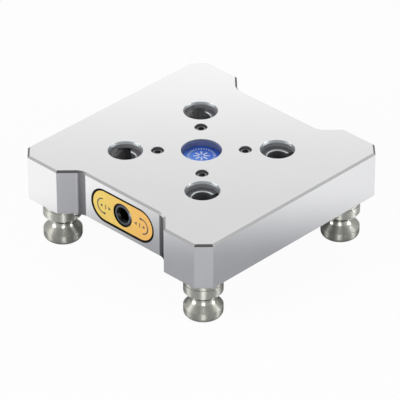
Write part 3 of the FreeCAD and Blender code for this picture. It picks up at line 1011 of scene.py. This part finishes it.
@dataclass
class CapPrint:
    """A plain centre mark on the blue disc: a ring of ticks round eight short rays."""

    groups: Groups
    ticks: int = 32
    tick_radius: float = 6.4 * MM
    tick_length: float = 1.1 * MM
    tick_width: float = 0.45 * MM
    rays: int = 8
    ray_from: float = 1.2 * MM
    ray_to: float = 4.0 * MM
    ray_width: float = 0.7 * MM

    def spokes(
        self, marks: FlatMarks, count: int, middle: float, length: float, width: float
    ) -> None:
        """Draws bars that all point to the centre."""
        for step in range(count):
            marks.bar(middle, 0, length, width, step * math.tau / count)

    def build(self) -> None:
        """Makes the ticks and the rays on the disc's top."""
        origin = Vector((0, 0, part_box("centre_cap")[1].z))
        ink = Paint.PALE_PRINT.value.material(self.groups)
        marks = FlatMarks(origin, Vector((1, 0, 0)), Vector((0, 1, 0)))
        self.spokes(marks, self.ticks, self.tick_radius, self.tick_length, self.tick_width)
        middle = (self.ray_from + self.ray_to) / 2
        self.spokes(marks, self.rays, middle, self.ray_to - self.ray_from, self.ray_width)
        marks.finish("cap_marks", ink, "plate")


def facing(place: Point, aim: Point) -> Quaternion:
    """Gives the turn that points a lamp or a card from its place to its aim."""
    return (Vector(aim) - Vector(place)).to_track_quat("-Z", "Y")


def bare_material(name: str) -> tuple[Material, Web, NodeSocket]:
    """Makes a material that has no shader yet.

    Args:
        name: the material's name.

    Returns:
        The material, its web, and the input that its shader goes into.
    """
    material = bpy.data.materials.new(name)
    material.use_nodes = True
    nodes = material.node_tree.nodes
    nodes.remove(nodes["Principled BSDF"])
    return material, Web(material.node_tree), nodes["Material Output"].inputs["Surface"]


@dataclass(frozen=True)
class SoftBox:
    """A rectangular lamp, placed in metres and aimed at a point."""

    name: str
    place: Point
    width: float
    height: float
    power: float
    aim: Point = (0.0, 0.0, 0.02)
    glossy: bool = True
    diffuse: bool = True

    def build(self) -> Object:
        """Makes the lamp, unseen by the camera.

        Returns:
            The lamp's object.
        """
        light = bpy.data.lights.new(self.name, "AREA")
        light.shape = "RECTANGLE"
        light.size = self.width
        light.size_y = self.height
        light.energy = self.power
        obj = bpy.data.objects.new(self.name, light)
        obj.location = self.place
        obj.rotation_mode = "QUATERNION"
        obj.rotation_quaternion = facing(self.place, self.aim)
        obj.visible_camera = False
        obj.visible_glossy = self.glossy
        obj.visible_diffuse = self.diffuse
        bpy.context.scene.collection.objects.link(obj)
        return obj


@dataclass(frozen=True)
class PaleCard:
    """A pale studio card that only reflections see."""

    name: str
    place: Point
    width: float
    height: float
    tone: float
    aim: Point = (0.0, 0.0, 0.05)

    def build(self) -> Object:
        """Makes the card, which only reflections see.

        Returns:
            The card's object, at the origin.
        """
        shape = bmesh.new()
        bmesh.ops.create_grid(shape, x_segments=1, y_segments=1, size=0.5)
        bmesh.ops.scale(shape, vec=(self.width, self.height, 1), verts=shape.verts)
        turn = facing(self.place, self.aim).to_matrix().to_4x4()
        bmesh.ops.transform(shape, matrix=Matrix.Translation(self.place) @ turn, verts=shape.verts)
        obj = new_object(self.name, shape)
        material, web, surface = bare_material(self.name)
        glow = web.node("ShaderNodeEmission", Color=(self.tone,) * 3)
        web.feed(surface, glow.outputs[0])
        dress(obj, material)
        obj.visible_camera = False
        obj.visible_diffuse = False
        obj.visible_shadow = False
        obj.visible_transmission = False
        return obj


@dataclass(frozen=True)
class Surroundings:
    """The world: soft light, plain white to the camera, and a shaded studio to gloss."""

    fill: float = 0.45
    fill_colour: Colour = (0.97, 0.98, 1.0)
    front_at: float = -0.5
    front_tone: float = 0.07
    back_at: float = 0.6
    back_tone: float = 0.85
    horizon_from: float = 0.08
    horizon_to: float = 0.32
    horizon_tone: float = 0.1
    glow_at: float = -0.55
    glow_to: float = -0.2
    glow_tone: float = 0.6
    glow_top: float = 0.62
    glow_over: float = 0.76

    def tone(self, web: Web) -> NodeSocket:
        """Shades what gloss sees: paler at the back than at the front, dark at the horizon.

        Straight in front, up to a height, a glow takes the place of that darkness.

        Args:
            web: the world's nodes.

        Returns:
            The socket of the tone.
        """
        ray = web.node("ShaderNodeTexCoord").outputs["Generated"]
        away = web.vector("DOT_PRODUCT", ray, TO_BACK).outputs["Value"]
        height = web.node("ShaderNodeSeparateXYZ", Vector=ray).outputs["Z"]
        level = web.math("ABSOLUTE", height)
        horizon = web.span(level, self.horizon_from, self.horizon_to, self.horizon_tone, 1.0)
        depth = web.span(away, self.front_at, self.back_at, self.front_tone, self.back_tone)
        glow = web.span(away, self.glow_at, self.glow_to, self.glow_tone, 0.0)
        low = web.span(height, self.glow_top, self.glow_over, 1.0, 0.0)
        shaded = web.math("MULTIPLY", depth, horizon)
        return web.math("MAXIMUM", shaded, web.math("MULTIPLY", glow, low))

    def build(self) -> None:
        """Makes the world and sets it as the scene's."""
        world = bpy.data.worlds.new("studio_world")
        world.use_nodes = True
        bpy.context.scene.world = world
        web = Web(world.node_tree)
        nodes = world.node_tree.nodes
        nodes.remove(nodes["Background"])
        soft = web.node("ShaderNodeBackground", Color=self.fill_colour, Strength=self.fill)
        mirrored = web.node("ShaderNodeBackground", Color=WHITE, Strength=self.tone(web))
        white = web.node("ShaderNodeBackground", Color=WHITE, Strength=1.0)
        in_gloss = web.mix(web.rays("Is Glossy Ray", "Is Transmission Ray"), soft, mirrored)
        seen = web.mix(web.rays("Is Camera Ray"), in_gloss, white)
        web.feed(nodes["World Output"].inputs["Surface"], seen.outputs[0])


@dataclass(frozen=True)
class Floor:
    """The pale floor: white to the camera, and shaded towards its middle and far off to gloss."""

    side: float = 6.0
    colour: Colour = (0.88, 0.88, 0.89)
    camera_white: float = 0.95
    gloss_share: float = 0.88
    dim_tint: Colour = (0.90, 0.92, 1.0)
    front_centre: float = 0.001
    front_half: float = 0.065
    front_tone: float = 0.325
    bright_from: float = 0.130
    near_from: float = 0.095
    near_to: float = 0.13
    near_gain: float = 0.08
    right_from: float = -0.05
    right_to: float = 0.12
    right_tone: float = 0.88
    under_half: float = 0.055
    under_to: float = 0.075
    under_tone: float = 0.1
    far_from: float = 0.2
    far_to: float = 0.5
    far_tone: float = 0.12

    def tone(self, web: Web) -> NodeSocket:
        """Shades what gloss sees: darker before the near corner, on the right, beneath and far off.

        Args:
            web: the floor's nodes.

        Returns:
            The socket of the tone.
        """
        place = web.node("ShaderNodeTexCoord").outputs["Object"]
        across = web.vector("DOT_PRODUCT", place, TO_RIGHT).outputs["Value"]
        forward = web.vector("DOT_PRODUCT", place, TO_FRONT).outputs["Value"]
        away = web.vector("LENGTH", place).outputs["Value"]
        parts = web.node("ShaderNodeSeparateXYZ", Vector=place)
        reaches = [web.math("ABSOLUTE", parts.outputs[axis]) for axis in ("X", "Y")]
        reach = web.math("MAXIMUM", *reaches)
        aside = web.math("ABSOLUTE", web.math("SUBTRACT", across, self.front_centre))
        front = web.span(aside, self.front_half, self.bright_from, self.front_tone, 1.0)
        near = web.span(forward, self.near_from, self.near_to, 0.0, self.near_gain)
        return web.chain(
            "MULTIPLY",
            web.math("ADD", front, near, clamp=True),
            web.span(across, self.right_from, self.right_to, 1.0, self.right_tone),
            web.span(reach, self.under_half, self.under_to, self.under_tone, 1.0),
            web.span(away, self.far_from, self.far_to, 1.0, self.far_tone),
        )

    def build(self) -> Object:
        """Makes the floor.

        Returns:
            The floor's object.
        """
        shape = bmesh.new()
        bmesh.ops.create_grid(shape, x_segments=1, y_segments=1, size=self.side / 2)
        obj = new_object("floor", shape)
        material, web, surface = bare_material("pale_floor")
        tone = self.tone(web)
        lit = web.node("ShaderNodeBsdfDiffuse", Color=self.colour)
        tint = web.blend(tone, self.dim_tint, WHITE)
        mirrored = web.node("ShaderNodeEmission", Color=tint, Strength=tone)
        white = web.node("ShaderNodeEmission", Color=WHITE)
        gloss = web.rays("Is Glossy Ray", "Is Transmission Ray")
        in_gloss = web.mix(web.math("MULTIPLY", gloss, self.gloss_share), lit, mirrored)
        camera = web.math("MULTIPLY", web.rays("Is Camera Ray"), self.camera_white)
        web.feed(surface, web.mix(camera, in_gloss, white).outputs[0])
        dress(obj, material)
        return obj


@dataclass(frozen=True)
class Studio:
    """Surroundings, floor, soft lamps and a pale card; sizes in metres and powers in watts."""

    lamps: tuple[SoftBox, ...] = (
        SoftBox("key_lamp", (-0.25, -0.95, 0.55), 0.5, 0.4, 5.0, (0.0, -0.05, 0.03), glossy=False),
        SoftBox("side_lamp", (0.95, 0.25, 0.55), 0.5, 0.4, 3.4, (0.05, 0.0, 0.03), glossy=False),
        SoftBox("front_lamp", (0.43, -0.44, 0.035), 0.18, 0.06, 2.3, diffuse=False),
        SoftBox("left_lamp", (-0.353, -0.533, 0.15), 0.4, 0.14, 0.8, diffuse=False),
        SoftBox("right_lamp", (0.54, 0.343, 0.15), 0.4, 0.14, 0.8, diffuse=False),
        SoftBox("low_left_lamp", (-0.353, -0.533, 0.045), 0.22, 0.07, 2.6, diffuse=False),
        SoftBox("low_right_lamp", (0.54, 0.343, 0.045), 0.22, 0.07, 2.7, diffuse=False),
        SoftBox("back_lamp", (-0.23, 0.24, 0.16), 0.34, 0.12, 0.03, (-0.03, 0.03, 0.05)),
    )
    card: PaleCard = PaleCard("back_card", (-0.24, 0.25, 0.46), 0.52, 0.3, 0.72)

    def build(self) -> None:
        """Makes the surroundings, the floor, the lamps and the card."""
        Surroundings().build()
        Floor().build()
        for lamp in self.lamps:
            lamp.build()
        self.card.build()
        LOG.info("studio built with %d lamps and %s", len(self.lamps), self.card.name)


@dataclass(frozen=True)
class View:
    """The camera, solved from the plate's outline: angles in degrees, lengths in millimetres."""

    azimuth: float = 44.394
    elevation: float = 32.596
    roll: float = -0.142
    distance: float = 1667.183
    shift_x: float = 0.754
    shift_y: float = 4.016
    focal_pixels: float = 3423.049
    image_pixels: float = 400.0
    sensor: float = 36.0
    base_height: float = 25.0
    near_clip: float = 50.0
    far_clip: float = 20000.0

    def build(self) -> Object:
        """Makes the camera and sets it as the scene's.

        Returns:
            The camera's object.
        """
        turn = math.radians(self.azimuth)
        tilt = math.radians(self.elevation)
        level = math.cos(tilt)
        back = Vector((math.sin(turn) * level, -math.cos(turn) * level, math.sin(tilt)))
        right = Vector((math.cos(turn), math.sin(turn), 0))
        axes = Matrix((right, back.cross(right), back))
        axes = Matrix.Rotation(-math.radians(self.roll), 3, "Z") @ axes
        home = axes.transposed() @ Vector((-self.shift_x, -self.shift_y, self.distance))
        home.z += self.base_height
        data = bpy.data.cameras.new("camera")
        data.sensor_width = self.sensor
        data.lens = self.focal_pixels * self.sensor / self.image_pixels
        data.clip_start, data.clip_end = self.near_clip * MM, self.far_clip * MM
        camera = bpy.data.objects.new("camera", data)
        camera.matrix_world = Matrix.Translation(home * MM) @ axes.transposed().to_4x4()
        bpy.context.scene.collection.objects.link(camera)
        bpy.context.scene.camera = camera
        LOG.info("camera placed at %s", tuple(round(part, 4) for part in camera.location))
        return camera


def main() -> None:
    """Builds and dresses the riser, then the studio and the camera."""
    logging.basicConfig(level=logging.INFO, format="%(message)s")
    scene = bpy.context.scene
    scene.view_settings.view_transform = "Standard"
    groups = Groups(make_tool_marks(), make_round_area(), make_lying_axis(), make_lathe_rings())
    MachinedParts(groups).build()
    LabelPrint(groups).build()
    CapPrint(groups).build()
    Studio().build()
    View().build()


if __name__ == "__main__":
    main()
